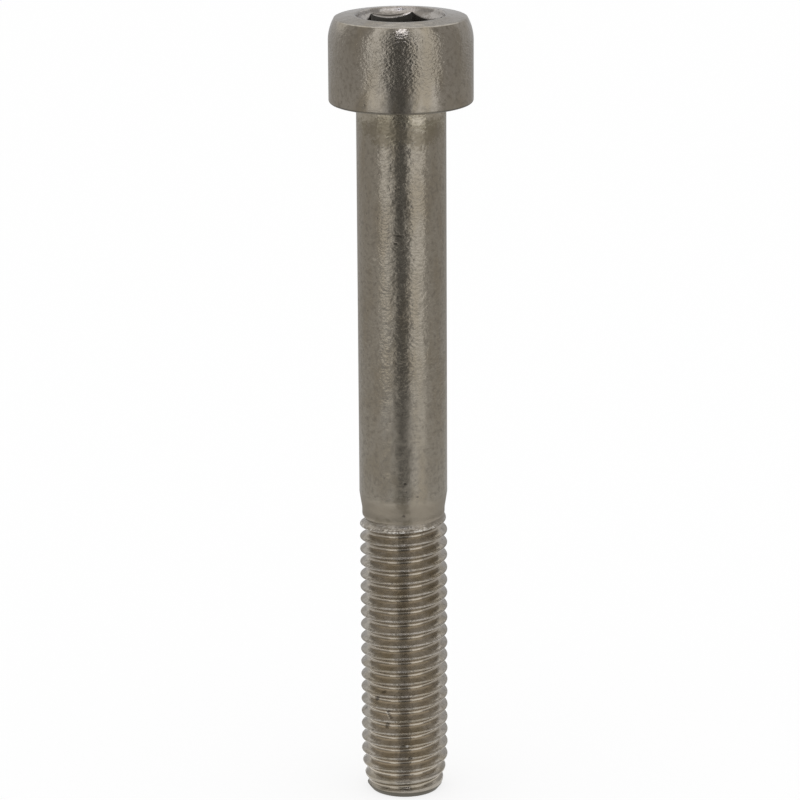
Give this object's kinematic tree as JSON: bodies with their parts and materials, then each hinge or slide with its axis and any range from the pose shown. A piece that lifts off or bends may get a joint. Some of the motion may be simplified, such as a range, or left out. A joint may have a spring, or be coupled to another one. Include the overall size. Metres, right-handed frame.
{
  "type": "hex socket cap screw",
  "caption": "Metal cap screw standing on its threaded end: round head with a hexagon socket, plain shank and right-hand thread on the lower part.",
  "frame": {"origin": "middle of the bearing face under the head, on the screw's axis", "axes": "+Z along the screw's axis, from the threaded end to the socket; +X through a corner of the hexagon"},
  "size_m": [0.016, 0.0158, 0.0897],
  "materials": {
    "steel": "dull silver-grey steel, finely speckled, with dark deposits in the thread"
  },
  "bodies": {
    "root": {"cap_screw": "steel"}
  },
  "joints": []
}
